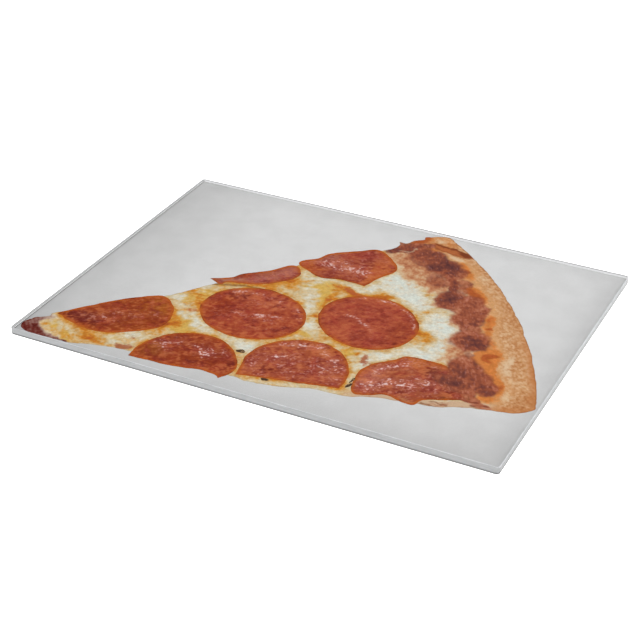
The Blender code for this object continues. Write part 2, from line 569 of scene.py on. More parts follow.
# Baked cheese and crust along the seam
HAZE = [
    (15, 65.5, 7, 5.6, -30, 1.6), (25, 60, 9, 8, -40, 1.3), (33, 52, 10, 9, -40, 0.8),
    (46, 48, 8, 8, -30, 2.6), (50, 41, 6, 4, -30, 0.8), (28, 45, 3, 2.4, 0, 0.7),
    (72, 8, 4, 3, -50, 0.5), (76, -6, 3, 7, 0, 0.5), (83, -17, 6, 5, -40, 1),
    (90, -19, 5, 5, 0, 1.1), (82, -27, 4, 4, 0, 0.8), (55, 22, 4, 2, 0, 0.4),
]
BROWN_LOBES = [
    (105.5, -55.5, 3.4, 3, 0, 0.9), (46, 49, 9, 7, -30, 0.6), (13, 74.5, 12, 4.6, 42, 1),
    (20, 82, 8, 3.6, 15, 0.9), (29, 72.5, 13.5, 8, -12, 1), (27, 64.5, 8, 4, -30, 0.7),
    (42, 64, 11.5, 9, -15, 1), (52, 59, 6.5, 7, -40, 0.9), (55, 47.5, 11, 3.4, -62, 1),
    (60.5, 50, 4.8, 6, 0, 0.8), (61, 42, 5, 5, 0, 0.7), (59.5, 31.5, 9, 9.5, 0, 1),
    (66.5, 26, 7, 6, 0, 0.9), (8.8, 78.6, 3.6, 2.4, 20, 0.8), (102.5, -49, 6, 4, -35, 0.9),
    (108.5, -54, 6, 1.6, -35, 0.9), (71, 32, 9.5, 8.5, -40, 1), (77, 27, 8.5, 8, -60, 1),
    (76.5, 17, 9.5, 9, -40, 1), (82, 8, 6, 6, 0, 0.9), (86.5, -3.4, 10.5, 10.5, 0, 1),
    (94, -30.5, 12.5, 9, -50, 1), (104, -38, 9, 8, -40, 1), (111, -43, 7, 6.6, 0, 1),
    (94, -45.5, 12, 6.4, -12, 0.9), (91, -19, 3.6, 5, 10, 0.6),
]
BROWN_CORES = [
    (45.5, 66, 4, 3, -30, 0.8), (42, 64, 8.5, 5.6, -12, 1.5), (37, 59.5, 5, 3, -30, 0.7),
    (34, 76, 7, 4, -20, 0.8), (40, 71.5, 4, 3, -40, 0.8), (14.5, 76, 11, 3.2, 43, 1.1),
    (7, 70, 4, 4, 40, 0.8), (23, 68.5, 2.4, 5, 28, 0.5), (54.5, 50, 8, 2.2, -62, 0.9),
    (64, 51, 1.4, 4, 10, 0.7), (59.5, 33.6, 5.4, 4.8, 10, 1.5), (56, 27, 4, 2.4, -20, 0.5),
    (73, 34, 4, 2, -50, 0.6), (81, 17.5, 4.4, 4, 0, 1), (75, 11, 3, 2, -40, 0.5),
    (89, -4.6, 5.8, 5, -20, 1.6), (96, -3.4, 1.4, 5, 10, 0.6), (94.5, -35, 3.4, 8, 30, 1.3),
    (87, -30, 3, 5, 30, 0.7), (91, -45.5, 7, 3.6, -10, 1.2), (112, -44.6, 5.4, 3.6, -20, 1.3),
    (104.5, -37, 6, 2.4, -55, 0.6), (84, -38, 3, 3, 0, 0.4),
]
ORANGE_SPOTS = [
    (21.5, 91.5, 3, 4, 20, 1), (27, 80.4, 7, 2.4, 5, 0.9), (51.5, 69.6, 5, 2.8, -40, 1),
    (59.5, 60.4, 5, 3.4, -50, 0.9), (66, 46.5, 4, 4, 0, 0.8), (74, 42.5, 7, 3, -42, 1),
    (88.5, 19.5, 4, 6.5, 15, 1), (92, 7, 3, 5, 15, 0.7), (96.5, -1, 3, 3, 0, 0.7),
    (101, -9, 6, 4, -20, 1), (96.5, -16, 3.6, 5, 10, 1), (103.5, -20, 6, 6, 0, 1),
    (107, -29, 3, 6, 20, 1), (113.5, -34.5, 5, 3, -35, 1), (118, -42, 3, 6, 0, 1),
    (112.5, -51, 5.6, 3, 0, 1),
]
BURNT_ORANGE = [
    (19.6, 91.6, 2.4, 3.4, 10, 1), (16, 86.5, 5, 3, 45, 1), (56.5, 64.4, 3, 1.8, -20, 1),
    (68.4, 43, 7, 2.4, -42, 1.1), (76, 39, 5, 1.8, -45, 0.7), (88, 20, 2, 4.6, 10, 0.7),
    (91.2, 12.4, 1.5, 1.3, 0, 1.2), (117.6, -39, 2, 4, 20, 0.8), (108, -32.5, 2, 3, 30, 0.6),
    (99.4, -15, 2, 3, 0, 1), (102.6, -12.8, 3.6, 1.6, 15, 1.1), (102, -18, 3, 1.4, -10, 0.7),
    (105, -51, 4, 2.6, -30, 0.9),
]
PALE_SPOTS = [
    (47, 75.6, 4, 1.8, -30, 0.9), (40, 78.6, 4, 1.2, -25, 0.6), (67, 62, 4, 2.4, -45, 0.7),
    (76, 50, 4, 2, -50, 0.6), (122.5, -46, 3.6, 8, 15, 0.6), (113, -22, 3.6, 9, 15, 0.7),
    (29, 92.5, 4.6, 3.4, -10, 0.8), (112, -10, 3, 6, 15, 0.5),
]
CRUST_END = [(32, 92, 9, 5, -30, 0.9)]
FOLD_MIDDLE = [(38, 84, 14, 3.2, -10, 1)]
FOLD_END = [(48, 83, 5, 2.4, -25, 1)]
LIGHT_STROKE = [(12, 70.6), (17, 72.8), (20, 77)]
FOLD_TOP = [(27, 87.4), (34, 87.2), (43, 85.8), (49, 83.6)]
FOLD_BOTTOM = [(25, 84), (32, 82.6), (42, 80.4), (51, 79.6)]
LOWER_FOLDS = [
    [(104.6, -52.6), (108.6, -56), (113, -56.8)], [(110, -59.6), (114, -60.2), (118, -59.2)],
    [(86, -69.6), (92, -69.2), (97, -68.2)], [(90, -66), (94, -65.4), (98, -65.6)],
]
DOUGH_FOLDS = [(111, -57, 7, 2.4, -25, 1), (117, -57.6, 3, 2, 0, 0.7)]
BURNT_TIP = [
    (-128, -83, 4, 3.4, 30, 0.45), (-133, -87.6, 6, 3, 45, 0.75), (-134.5, -92, 4, 4, 0, 0.8),
    (-135.5, -96, 4, 3.6, 0, 1.1), (-129.5, -98.8, 8, 3.4, -18, 1.4),
    (-128.5, -94.2, 3.4, 1.2, -35, 0.8), (-119, -100.6, 8, 2.2, -12, 1.3),
    (-110.5, -102, 6, 1.4, -3, 1),
]
TIP_GOLD = [(-114, -91.5, 13, 6, -25, 1)]
TIP_STREAKS = [[(-130, -84), (-126, -84.6), (-124.5, -87.5)], [(-123.5, -95.5), (-118, -99)]]


def paint_cheese(sheet, meat_rim):
    streaky = sheet.clouds(2.4, 65, stretch=1.7)
    baked = 0.36 + 0.15 * sheet.clouds(7.0, 61) + 0.2 * streaky + 0.16 * sheet.clouds(1.2, 68, layers=2)
    baked -= 0.46 * np.clip(sheet.lumps(WHITE_PATCHES), 0.0, 1.1)
    baked += 0.24 * sheet.lumps(TAN_PATCHES) + 0.66 * np.clip(sheet.lumps(GOLD_PATCHES), 0.0, 1.3)
    oily = smoothstep(-0.8, 0.8, sheet.clouds(6.0, 71))
    baked += (0.08 + 0.34 * oily) * smoothstep(3.4, 0.4, meat_rim + 0.5 * streaky)
    sheet.colour = ramp(baked, CHEESE_STOPS)
    yellow = smoothstep(0.2, 0.9, sheet.lumps(YELLOW_PATCHES) + 0.3 * streaky)
    sheet.paint(YELLOW, 0.78 * yellow * smoothstep(0.95, 0.6, baked))
    ragged = 0.26 * streaky + 0.3 * sheet.clouds(1.1, 67, layers=2)
    sheet.paint(BAKED_RED, 0.85 * smoothstep(0.3, 1.0, sheet.lumps(RED_SPECKS) + ragged))
    sheet.paint(BROWN, 0.85 * smoothstep(0.3, 1.0, sheet.lumps(BROWN_SPECKS) + ragged))
    for route in OLIVE_STROKES:
        sheet.paint(OLIVE, 0.8 * sheet.stroke(route, 0.9, 1.0))
    sheet.shade(1.0 + 0.05 * sheet.clouds(1.1, 69, layers=2))


def paint_haze(sheet):
    """The tan skin between the white cheese and the brown lobes."""
    ragged = 0.14 * sheet.clouds(2.4, 81, stretch=1.6, turn=-60.0)
    fine = sheet.clouds(1.0, 84, layers=2, stretch=1.6, turn=-60.0)
    haze = 1.2 * (1.0 - np.exp(-0.8 * sheet.lumps(HAZE))) + ragged
    colours = ramp(haze + 0.22 * fine + 0.34 * sheet.clouds(3.2, 88), HAZE_STOPS)
    sheet.paint(colours, smoothstep(0.12, 0.5, haze + 0.06 * fine))


def paint_lobes(sheet):
    """Brown lobes with darker rims, purple-black middles and pale flecks."""
    lobes = sheet.ovals(BROWN_LOBES, 0.2)
    fine = sheet.clouds(1.0, 85, layers=2, stretch=2.0, turn=-60.0)
    deep = 0.4 + 0.3 * sheet.clouds(4.5, 83) + 0.34 * sheet.clouds(2.2, 86, stretch=1.4) + 0.46 * fine
    deep += 0.76 * sheet.lumps(BROWN_CORES)
    deep += 0.3 * smoothstep(0.15, 0.5, lobes) * smoothstep(1.0, 0.6, lobes)
    sheet.paint(ramp(deep, BROWNED_STOPS), lobes)
    flecks = smoothstep(0.4, 1.1, sheet.clouds(0.9, 87, layers=2, stretch=3.4, turn=-60.0))
    sheet.paint(PINK_GLINT, 0.34 * flecks * lobes)
    sheet.paint(CREAM, 0.7 * sheet.stroke(LIGHT_STROKE, 0.5, 0.8))


def seam_distance(sheet):
    """How far outside the seam each place is, below 0 on the cheese's side."""
    seam = curve_through(SEAM_ROUTE, step=3.0)
    return -distance_to(seam, sheet.loose_x, sheet.loose_y)


def paint_crust(sheet, rim):
    """The crust outside the seam, with the fold at its upper end."""
    away = seam_distance(sheet)
    patchy = sheet.clouds(6.0, 95)
    grain = sheet.clouds(1.0, 91, layers=2, stretch=1.5, turn=-55.0)
    light = 0.1 + 0.66 * grain + 0.22 * patchy + 0.16 * sheet.clouds(2.6, 97, layers=2)
    light -= 0.2 * smoothstep(1.8, 0.2, rim + 0.6 * grain)
    light -= 0.45 * smoothstep(122.0, 136.0, sheet.x) * smoothstep(-34.0, -44.0, sheet.y)
    sheet.paint(ramp(light, CRUST_STOPS), smoothstep(-0.8, 1.2, away + 0.5 * grain + 0.5 * patchy))
    sheet.paint(SEAM_TAN, 0.5 * smoothstep(5.0, 1.4, away + 1.4 * patchy) * smoothstep(-1.0, 1.0, away))
    near_rim = smoothstep(6.0, 0.5, rim + 1.5 * patchy) * smoothstep(30.0, -10.0, sheet.y)
    sheet.paint(RIM_TAN, 0.7 * near_rim * smoothstep(-0.8, 1.2, away))
    sheet.paint(SEAM, 0.5 * smoothstep(0.2, 0.9, sheet.lumps(CRUST_END)))
    sheet.paint(PALE_CRUST, 0.9 * smoothstep(0.3, 0.8, sheet.lumps(PALE_SPOTS) + 0.12 * grain))
    sheet.paint(SEAM, 0.85 * smoothstep(0.1, 1.1, sheet.lumps(ORANGE_SPOTS[:2]) + 0.15 * grain))
    sheet.paint(BURNT, 0.85 * smoothstep(0.1, 1.1, sheet.lumps(BURNT_ORANGE[:2]) + 0.15 * grain))
    fold = smoothstep(0.25, 0.6, sheet.lumps(FOLD_MIDDLE) + 0.08 * grain)
    sheet.paint(FOLD, 0.9 * fold)
    dark = np.maximum(
        sheet.stroke(FOLD_TOP, 0.9, 1.0),
        0.6 * sheet.stroke(FOLD_BOTTOM, 0.5, 0.9),
    )
    dark = np.maximum(dark, smoothstep(0.3, 0.8, sheet.lumps(FOLD_END)))
    sheet.paint(FOLD_LINE, 0.85 * dark)


def paint_under_seam(sheet):
    """The tan and orange strip between the crust and the baked cheese."""
    away = seam_distance(sheet)
    middle = sheet.clouds(2.4, 98, stretch=1.5, turn=-50.0)
    fine = sheet.clouds(1.1, 96, layers=2, stretch=1.5, turn=-50.0)
    strip = smoothstep(13.0, 8.0, -away + 1.2 * middle) * smoothstep(1.5, 0.0, away)
    sheet.paint(SEAM_TAN, 0.95 * strip)
    sheet.paint(PALE_CRUST, 0.45 * strip * smoothstep(0.2, 1.2, middle + fine))
    spots = smoothstep(0.25, 0.85, sheet.lumps(ORANGE_SPOTS) + 0.16 * middle + 0.1 * fine)
    sheet.paint(SEAM, 0.9 * spots)
    burnt = smoothstep(0.3, 0.9, sheet.lumps(BURNT_ORANGE) + 0.14 * middle + 0.1 * fine)
    sheet.paint(BURNT, 0.85 * burnt)
    sheet.shade(1.0 + 0.06 * strip * fine)


def paint_lower_edge(sheet, rim):
    """The pale cut side of the dough, with its thin dark folds."""
    fine = sheet.clouds(1.4, 99, stretch=2.5, turn=12.0)
    inside = smoothstep(6.0, 4.4, rim + 0.5 * fine) * smoothstep(44.0, 56.0, sheet.x)
    inside *= smoothstep(-40.0, -54.0, sheet.y) * smoothstep(124.0, 114.0, sheet.x)
    sheet.paint(DOUGH, inside)
    sheet.paint(BROWN, 0.6 * inside * smoothstep(0.5, 1.2, fine))
    for route in LOWER_FOLDS:
        sheet.paint(DOUGH_LINE, 0.85 * sheet.stroke(route, 0.4, 0.8))
    folds = 0.9 * smoothstep(0.3, 0.8, sheet.lumps(DOUGH_FOLDS) + 0.15 * fine)
    sheet.paint(ramp(0.5 + 0.9 * fine, BROWNED_STOPS), folds)


def paint_tip(sheet):
    """The burnt point of the slice, grey on top and nearly black-red at its rim."""
    fine = sheet.clouds(1.1, 101, layers=2, stretch=1.5, turn=-45.0)
    middle = sheet.clouds(2.6, 103, stretch=1.5, turn=-35.0)
    streaks = sheet.clouds(1.5, 105, stretch=3.6, turn=-55.0)
    golden = smoothstep(0.2, 0.8, sheet.lumps(TIP_GOLD))
    sheet.paint(YELLOW_BROWN, 0.6 * golden * smoothstep(0.1, 1.0, streaks))
    sheet.paint(CREAM, 0.6 * golden * smoothstep(0.1, 1.0, -streaks))
    burnt = 1.5 * (1.0 - np.exp(-0.7 * sheet.lumps(BURNT_TIP)))
    mottled = 0.34 * fine + 0.36 * middle
    sheet.paint(ramp(burnt + mottled, TIP_STOPS), smoothstep(0.25, 0.6, burnt + 0.2 * mottled))
    for route in TIP_STREAKS:
        sheet.paint(TIP_PALE, 0.7 * sheet.stroke(route, 0.5, 1.2))


def paint_slice(mesh, outline, meat_outlines):
    sheet = Painting(mesh, CREAM)
    rim = nearest_distance(outline, sheet)
    meat_rim = nearest_distance([place for loop in meat_outlines for place in loop], sheet)
    paint_cheese(sheet, meat_rim)
    paint_haze(sheet)
    paint_under_seam(sheet)
    paint_crust(sheet, rim)
    paint_lobes(sheet)
    paint_lower_edge(sheet, rim)
    paint_tip(sheet)
    sheet.shade(1.0 - 0.12 * smoothstep(0.8, 0.1, rim))
    sheet.finish()


def nearest_distance(places, sheet):
    """How far each of a sheet's points is from the nearest of some places."""
    tree = search_tree(places)
    return np.array([tree.find((x, y, 0.0))[2] for x, y in zip(sheet.x, sheet.y)])


def paint_pepperoni(mesh, outline, number):
    colour, spotted, glossy = MEAT[number]
    sheet = Painting(mesh, colour)
    rim = nearest_distance(outline, sheet)
    seed = 200 + 20 * number
    patchy = sheet.clouds(6.0, seed, stretch=1.4)
    middle = sheet.clouds(2.2, seed + 4, stretch=1.4)
    fine = sheet.clouds(1.0, seed + 8, layers=2, stretch=1.5)
    for *oval, strength, tint in MEAT_TINTS[number]:
        sheet.paint(tint, smoothstep(0.1, 0.9, sheet.lumps([(*oval, strength)])))
    sheet.paint(MEAT_ORANGE, 0.4 * smoothstep(5.0, 1.0, rim + 2.0 * middle))
    sheet.paint(MEAT_RED, 0.4 * smoothstep(-0.2, 1.0, sheet.clouds(4.0, seed + 16)))
    tone = 0.55 * patchy + 0.6 * middle + 0.5 * fine
    sheet.paint(MEAT_DARK, 0.55 * spotted * smoothstep(0.0, 1.0, tone))
    sheet.paint(MEAT_PALE, 0.48 * spotted * smoothstep(0.0, 1.0, -tone))
    dark = sheet.lumps(DARK_MEAT.get(number, []))
    sheet.paint(MEAT_BURNT, 0.8 * smoothstep(0.3, 1.0, dark + 0.25 * middle + 0.2 * fine))
    gloss = glossy * smoothstep(-0.8, 0.6, patchy) + sheet.lumps(GLINTS[number])
    gloss = np.clip(gloss, 0.0, 1.4)
    flecks = sheet.clouds(0.75, seed + 12, layers=2, stretch=1.4) + 0.5 * sheet.clouds(2.2, seed + 14)
    sheet.paint(PINK_GLINT, 0.2 * gloss)
    sheet.paint(PINK_GLINT, 0.95 * gloss * smoothstep(0.1, 0.9, flecks))
    sheet.paint(WHITE_GLINT, np.clip(gloss, 0.0, 1.0) * smoothstep(1.3, 2.0, flecks + 0.7 * gloss))
    for route in GLOSS_STROKES.get(number, []):
        stroke = sheet.stroke(route, 0.5, 0.8)
        sheet.paint(WHITE_GLINT, 0.6 * stroke * smoothstep(-0.5, 0.6, flecks))
    sheet.paint(RIM, 0.45 * smoothstep(2.4, 0.4, rim + 0.4 * fine))
    sheet.paint(OILY_RIM, 0.7 * smoothstep(2.0, 0.5, rim + 0.4 * fine) * smoothstep(1.0, -0.4, patchy))
    sheet.paint(RIM_LINE, 0.45 * smoothstep(1.2, 0.1, rim) * smoothstep(-0.3, 1.0, patchy))
    if number in BAKED_OVER:
        paint_lobes(sheet)
    sheet.finish()


# Patches of the pepperoni with a colour of their own
MEAT_TINTS = {
    1: [(-79, -46, 10, 8, 0, 1, (164, 90, 44)), (-114, -76, 11, 6, 20, 1, (120, 52, 38))],
    2: [(-61, -86, 8, 7, 0, 0.9, (142, 74, 42))],
    3: [(-30, -14, 20, 8, 0, 0.9, (176, 90, 64)), (-51, -30, 7, 14, 0, 1, (152, 66, 44))],
    4: [(49, -14, 7, 14, 0, 0.9, (160, 76, 54))],
    5: [
        (-62, -5, 8, 4, 30, 1.2, (172, 122, 108)), (-34, 19, 6, 8, -30, 0.9, (168, 98, 88)),
        (-44, 4, 9, 4, 35, 0.9, (166, 96, 88)), (-55, 5, 4, 4, 30, 0.9, (178, 92, 56)),
    ],
    6: [
        (-6, 56, 9, 5, 20, 0.8, (152, 70, 58)), (11, 38, 7, 14, 0, 1, (188, 100, 58)),
        (-26, 31, 8, 4, 0, 1, (182, 94, 52)), (-22, 45, 10, 5, 45, 0.8, (168, 102, 84)),
    ],
    7: [(15, -46, 18, 6, 0, 0.9, (182, 102, 64))],
    8: [
        (72, -36, 18, 5, 0, 1, (182, 102, 62)), (54, -60, 7, 12, 0, 0.9, (178, 104, 82)),
        (88, -42, 10, 6, -20, 1, (138, 78, 62)), (77, -71.6, 7, 2, 0, 1, (178, 120, 86)),
        (93, -61.4, 9, 1.4, 27, 0.9, (122, 68, 48)),
    ],
}

# Glossy places on the pepperoni
GLINTS = {
    1: [(-103, -72, 9, 3, 10, 0.6), (-92, -63, 8, 2.4, 10, 0.5), (-78, -57, 5, 2, 20, 0.4)],
    2: [
        (-52.6, -74.5, 4, 2.4, 10, 0.9), (-58.8, -80.7, 7, 2, -30, 0.9),
        (-33.2, -77, 5, 3, 10, 1.3), (-42, -73.2, 6, 1.6, -10, 0.9), (-25, -72, 5, 1.6, -30, 0.6),
    ],
    3: [
        (-49.5, -12.6, 5, 2, 20, 0.9), (-39.5, -10.7, 7, 1, -5, 0.9),
        (-26.3, -31.3, 3.6, 2.2, 20, 1.6), (-38.2, -33.8, 3, 0.9, 0, 0.9),
        (-15.7, -28.2, 2.6, 1.4, 0, 0.8), (-18.8, -33.8, 3.4, 1.4, 0, 0.9),
        (-5.7, -24.5, 2.4, 2, 0, 0.6), (-24.5, -13.2, 2.4, 1.2, 0, 0.7),
        (-12, -18, 4, 1.4, -40, 0.5), (-30, -20, 8, 3, 0, 0.3),
    ],
    4: [
        (17, 13, 2.2, 1.6, 30, 1.1), (31.2, 13.6, 5, 1, -5, 1.2), (18.7, -9.8, 3.4, 1.6, 10, 0.7),
        (29, -14, 6, 1.4, -30, 0.8), (44.5, 8.5, 5, 0.8, -40, 1), (51, 0, 4, 0.8, -60, 1),
    ],
    5: [(-40, 12, 8, 3, 50, 0.4)],
    6: [(-9, 38, 12, 4, 0, 0.9), (-18, 42, 6, 2.4, 20, 0.6), (2, 37, 6, 3, -10, 0.6)],
    7: [
        (6.8, -49.5, 7, 1.8, 10, 0.8), (23.7, -49.5, 7, 1.8, -25, 0.8),
        (33, -57.6, 5, 2.4, -40, 0.8), (2.4, -62.6, 6, 3, 30, 0.7), (36.8, -70, 5, 3, 0, 0.7),
        (29.3, -62.6, 4, 2, 0, 0.7), (-5, -76, 4, 3, 40, 0.6),
    ],
    8: [
        (62.4, -61.3, 7, 2.6, 20, 0.8), (55.6, -67.6, 4.6, 3, 0, 1.1),
        (54.3, -54.5, 2.6, 6, -20, 0.7), (81.8, -51.3, 6, 2.6, 0, 0.7),
        (69.3, -57.6, 6, 2.4, 10, 0.8), (98, -48.6, 2.6, 2.4, 0, 1.1),
        (61.8, -42.6, 7, 2.4, 40, 0.6),
    ],
}

# Thin bright strokes on the pepperoni
GLOSS_STROKES = {
    2: [[(-60, -79), (-56, -76.6), (-50, -74)], [(-37, -76), (-33, -77.6), (-29, -76)]],
    3: [
        [(-52, -15), (-48, -11.8), (-42, -10.4), (-34, -10.2)], [(-12, -16), (-8, -20)],
        [(-29, -31), (-26, -32.6), (-22.6, -31.4)], [(-19, -29), (-15, -27.4)],
    ],
    4: [
        [(40, 10.6), (47, 6.2), (52.2, 0), (54.4, -7)], [(28, 13.4), (35, 13.2)],
        [(14.6, 11.6), (18.6, 13.2)], [(17, -8.6), (21, -9.8)], [(25, -11.6), (30, -15.6)],
    ],
    6: [[(-18, 36.6), (-10, 38.6), (-2, 36.4)], [(-12, 41), (-4, 40), (3, 37)]],
    7: [
        [(-1, -53), (6, -49), (13, -48)], [(20, -48), (28, -52), (33, -57)], [(0, -64), (6, -61)],
        [(24, -62), (31, -64)],
    ],
    8: [
        [(53, -58), (55, -51), (60, -45), (66, -41)], [(57, -64), (64, -60.6)],
        [(75, -49.6), (83, -51.6)],
    ],
}

# Burnt places on the pepperoni
DARK_MEAT = {
    1: [(-111, -77.5, 8, 3.4, 5, 0.9), (-118, -74, 4, 3, 30, 0.8), (-104, -80, 4, 2, 0, 0.6)],
    2: [
        (-16.5, -80, 4, 7, 10, 0.8), (-55, -70.5, 5, 2.4, 30, 0.7), (-47, -78, 8, 3, 10, 0.6),
        (-30, -88, 9, 3, 5, 0.6),
    ],
    3: [(-46, -17, 8, 4, 35, 0.7), (-22, -17, 5, 2, -20, 0.5), (-8.5, -36, 2.4, 5, 0, 0.5)],
    4: [(50, -24, 3, 5, -20, 0.4)],
    7: [(2, -77, 8, 3.4, 10, 0.6), (16, -60, 5, 3, 0, 0.5)],
    8: [(84, -44, 9, 4, -15, 0.7), (92, -54, 5, 2.4, 0, 0.7), (70, -66, 6, 2.4, 10, 0.6)],
}

# The pepperoni that the brown lobes partly cover
BAKED_OVER = (6, 8)

# Herb specks: middle, half length, half width and turn
HERBS = [
    (-17.6, -67.2, 2.6, 1.7, 10), (6.2, -85.2, 2.2, 1.2, 0), (46.8, -66, 0.8, 2.6, -10),
    (47.2, -71, 1, 2.4, -20),
]


class Surface:
    """A material's nodes, with a Principled shader at their end."""

    def __init__(self, name):
        self.material = bpy.data.materials.new(name)
        self.material.use_nodes = True
        self.nodes = self.material.node_tree.nodes
        self.links = self.material.node_tree.links
        self.shader = self.nodes["Principled BSDF"]
        self.place = self.add("TexCoord").outputs["Object"]

    def add(self, kind, inputs=None, **settings):
        node = self.nodes.new("ShaderNode" + kind)
        for name, value in settings.items():
            setattr(node, name, value)
        for name, value in (inputs or {}).items():
            self.feed(node.inputs[name], value)
        return node

    def feed(self, socket, value):
        if isinstance(value, bpy.types.NodeSocket):
            self.links.new(value, socket)
        else:
            socket.default_value = value

    def sets(self, **values):
        """Feeds the shader's inputs, named with _ for a space."""
        for name, value in values.items():
            self.feed(self.shader.inputs[name.replace("_", " ")], value)

    def noise(self, size, detail):
        """Noise from 0 to 1 with bumps about size millimetres wide."""
        inputs = {"Vector": self.place, "Scale": 1.0 / (size * MM), "Detail": detail}
        return self.add("TexNoise", inputs).outputs["Fac"]

    def span(self, value, low, high, out_low, out_high):
        """A value's stretch from low to high, turned smoothly into another."""
        inputs = {
            "Value": value, "From Min": low, "From Max": high, "To Min": out_low, "To Max": out_high
        }
        return self.add("MapRange", inputs, interpolation_type="SMOOTHSTEP").outputs["Result"]

    def uneven(self, size, detail, low, high):
        """A number that wanders between two, in bumps of a size in millimetres."""
        return self.span(self.noise(size, detail), 0.3, 0.7, low, high)

    def calculate(self, operation, first, second=0.0):
        return self.add("Math", {0: first, 1: second}, operation=operation).outputs[0]

    def product(self, first, *others):
        for other in others:
            first = self.calculate("MULTIPLY", first, other)
        return first

    def mix(self, blend, factor, first, second):
        node = self.add("Mix", data_type="RGBA", blend_type=blend)
        self.feed(node.inputs[0], factor)
        self.feed(node.inputs[6], first)
        self.feed(node.inputs[7], second)
        return node.outputs[2]

    def dimmed(self, colour, factor):
        """A colour multiplied by a number that varies over the surface."""
        grey = self.add("CombineColor", {0: factor, 1: factor, 2: factor}).outputs[0]
        return self.mix("MULTIPLY", 1.0, colour, grey)

    def matt(self, colour, factor):
        """Ink without gloss, of a colour dimmed by a factor."""
        self.sets(Base_Color=self.dimmed(colour, factor), Roughness=0.6, Specular_IOR_Level=0.0)

    def bump(self, size, detail, depth):
        """Relief of a depth in millimetres, in bumps of a size."""
        inputs = {"Height": self.noise(size, detail), "Distance": depth * MM, "Strength": 1.0}
        self.sets(Normal=self.add("Bump", inputs).outputs["Normal"])


def shown(colour):
    """A screen colour as linear light, with full cover."""
    return (*linear_light(colour), 1.0)


def ink_material(name, spread):
    """Matt ink that takes its colours from the painted mesh, a little uneven like print."""
    surface = Surface(name)
    ink = surface.add("Attribute", attribute_name="ink").outputs["Color"]
    surface.matt(ink, surface.uneven(0.9, 3.0, 1.0 - spread, 1.0 + spread))
    return surface.material


def ground_material(print_box):
    """Pale grey ink, faintly cloudy, with painted shade and painted light towards its rim."""
    surface = Surface("ground_ink")
    low, high = print_box
    half_length, half_width = 0.5 * (high[0] - low[0]), 0.5 * (high[1] - low[1])
    x, y, _ = surface.add("SeparateXYZ", {0: surface.place}).outputs
    from_end = surface.calculate("SUBTRACT", half_length, surface.calculate("ABSOLUTE", x))
    from_side = surface.calculate("SUBTRACT", half_width, surface.calculate("ABSOLUTE", y))
    away = {
        "rim": surface.calculate("MINIMUM", from_end, from_side),
        "front": surface.calculate("ADD", half_width, y),
        "left": surface.calculate("ADD", half_length, x),
        "right": surface.calculate("SUBTRACT", half_length, x),
    }
    # Painted shade: darker near the rim and towards the front and the left, with a dark line along the
    # left rim; painted light in a thin strip at the right rim
    painted_shades = [
        surface.span(away[side], start * MM, end * MM, shade, 1.0)
        for side, start, end, shade in GROUND_PAINTED_SHADE
    ]
    clouds_and_specks = surface.uneven(12.0, 3.0, 0.975, 1.025), surface.uneven(1.2, 2.0, 0.985, 1.015)
    surface.matt(shown(GROUND_GREY), surface.product(*painted_shades, *clouds_and_specks))
    return surface.material


def backing_material():
    """Satin white film with the faint orange peel of a sprayed coat."""
    surface = Surface("backing_film")
    tone = surface.uneven(9.0, 4.0, 0.96, 1.0)
    surface.sets(Base_Color=surface.dimmed(shown(BACKING_WHITE), tone))
    surface.sets(Roughness=surface.uneven(3.0, 2.0, 0.36, 0.48))
    surface.bump(1.6, 2.0, 0.01)
    return surface.material


def rubber_material():
    """Milky clear rubber, slightly uneven, with fine dust on it."""
    surface = Surface("foot_rubber")
    tone = surface.uneven(2.5, 3.0, 0.93, 1.0)
    surface.sets(Base_Color=surface.dimmed(shown(RUBBER_GREY), tone))
    surface.sets(Roughness=surface.uneven(0.8, 2.0, 0.42, 0.56))
    surface.sets(Subsurface_Weight=0.25, Subsurface_Scale=2.0 * MM)
    surface.bump(0.4, 2.0, 0.006)
    return surface.material


def let_light_through(surface):
    """Shadow and diffuse rays pass the glass straight, so light reaches the print."""
    path = surface.add("LightPath").outputs
    passing = surface.calculate("MAXIMUM", path["Is Shadow Ray"], path["Is Diffuse Ray"])
    clear = surface.add("BsdfTransparent").outputs[0]
    mixed = surface.add("MixShader", {0: passing, 1: surface.shader.outputs[0], 2: clear})
    surface.links.new(mixed.outputs[0], surface.nodes["Material Output"].inputs["Surface"])


def glass_material():
    """Clear glass with the faint waves of tempering."""
    surface = Surface("clear_glass")
    surface.sets(Base_Color=GLASS_TINT, Roughness=0.03, IOR=1.5, Transmission_Weight=1.0)
    surface.bump(26.0, 1.0, 0.01)
    let_light_through(surface)
    return surface.material


